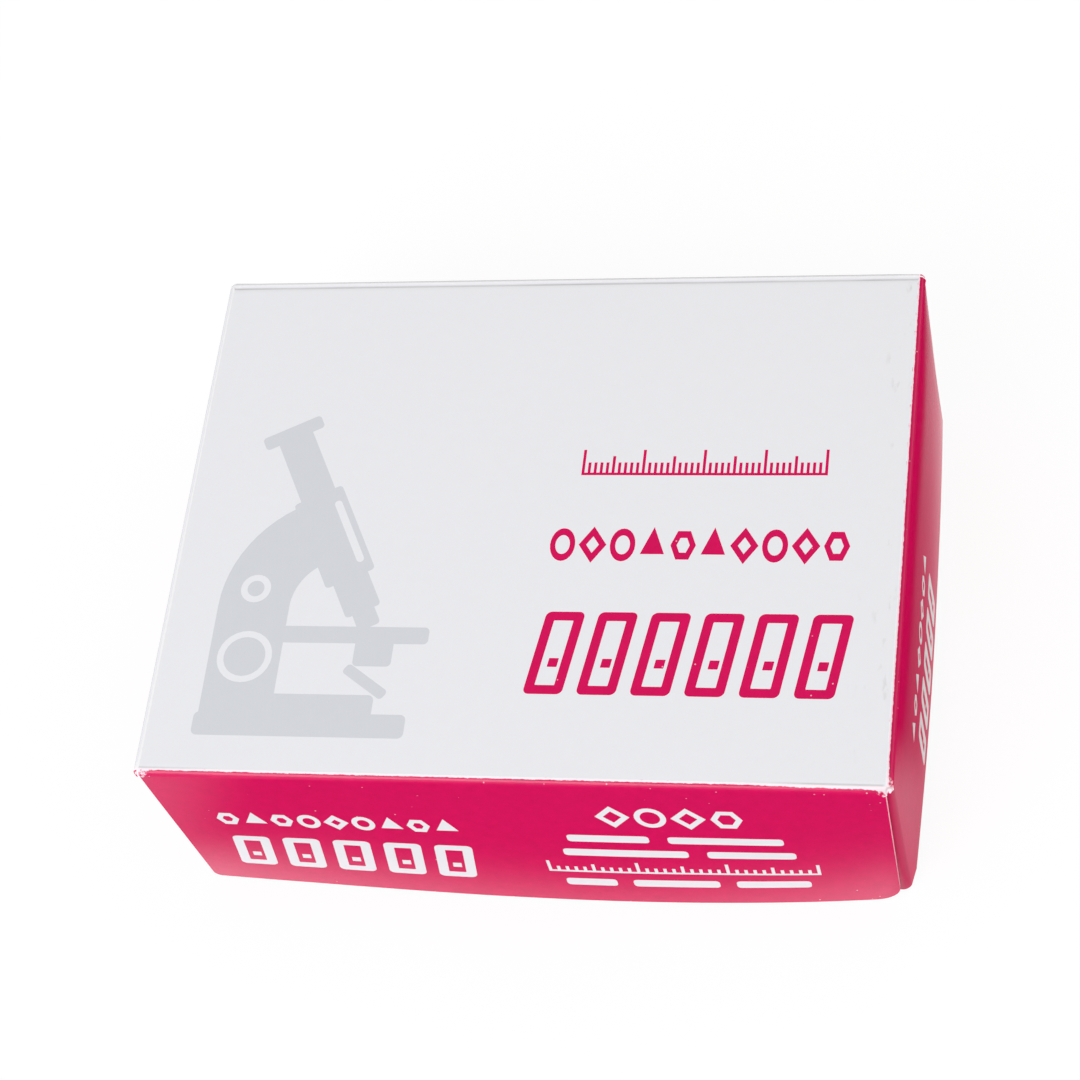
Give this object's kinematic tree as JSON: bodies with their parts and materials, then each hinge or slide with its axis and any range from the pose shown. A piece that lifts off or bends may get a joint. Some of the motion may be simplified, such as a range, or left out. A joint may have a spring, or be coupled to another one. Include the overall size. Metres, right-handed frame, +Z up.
{
  "type": "box of microscope slides",
  "caption": "Closed card box with a deep lift-off lid over an open tray, packed with plain ground-edge glass microscope slides standing on their long edges.",
  "frame": {"origin": "on the surface that the box stands on, under the middle of the tray", "axes": "+X along the slides' length, to the right of the front wall; +Y through the row of slides, away from the front wall; +Z up, the way the lid lifts off"},
  "size_m": [0.08, 0.0658, 0.0273],
  "materials": {
    "printed_board": "satin",
    "plain_board": "matte",
    "slide_glass": "polished"
  },
  "bodies": {
    "tray": {"tray": "plain_board", "slide_01": "slide_glass", "slide_02": "slide_glass", "slide_03": "slide_glass", "slide_04": "slide_glass", "slide_05": "slide_glass", "slide_06": "slide_glass", "slide_07": "slide_glass", "slide_08": "slide_glass", "slide_09": "slide_glass", "slide_10": "slide_glass", "slide_11": "slide_glass", "slide_12": "slide_glass", "slide_13": "slide_glass", "slide_14": "slide_glass", "slide_15": "slide_glass", "slide_16": "slide_glass", "slide_17": "slide_glass", "slide_18": "slide_glass", "slide_19": "slide_glass", "slide_20": "slide_glass", "slide_21": "slide_glass", "slide_22": "slide_glass", "slide_23": "slide_glass", "slide_24": "slide_glass", "slide_25": "slide_glass", "slide_26": "slide_glass", "slide_27": "slide_glass", "slide_28": "slide_glass", "slide_29": "slide_glass", "slide_30": "slide_glass", "slide_31": "slide_glass", "slide_32": "slide_glass", "slide_33": "slide_glass", "slide_34": "slide_glass", "slide_35": "slide_glass", "slide_36": "slide_glass", "slide_37": "slide_glass", "slide_38": "slide_glass", "slide_39": "slide_glass", "slide_40": "slide_glass", "slide_41": "slide_glass", "slide_42": "slide_glass", "slide_43": "slide_glass", "slide_44": "slide_glass", "slide_45": "slide_glass", "slide_46": "slide_glass", "slide_47": "slide_glass", "slide_48": "slide_glass", "slide_49": "slide_glass", "slide_50": "slide_glass"},
    "lid": {"lid": "printed_board"}
  },
  "joints": [
    {"name": "lid_lift", "type": "slide", "parent": "tray", "child": "lid", "axis": [0, 0, 1], "range_m": [0, 0.035]}
  ]
}
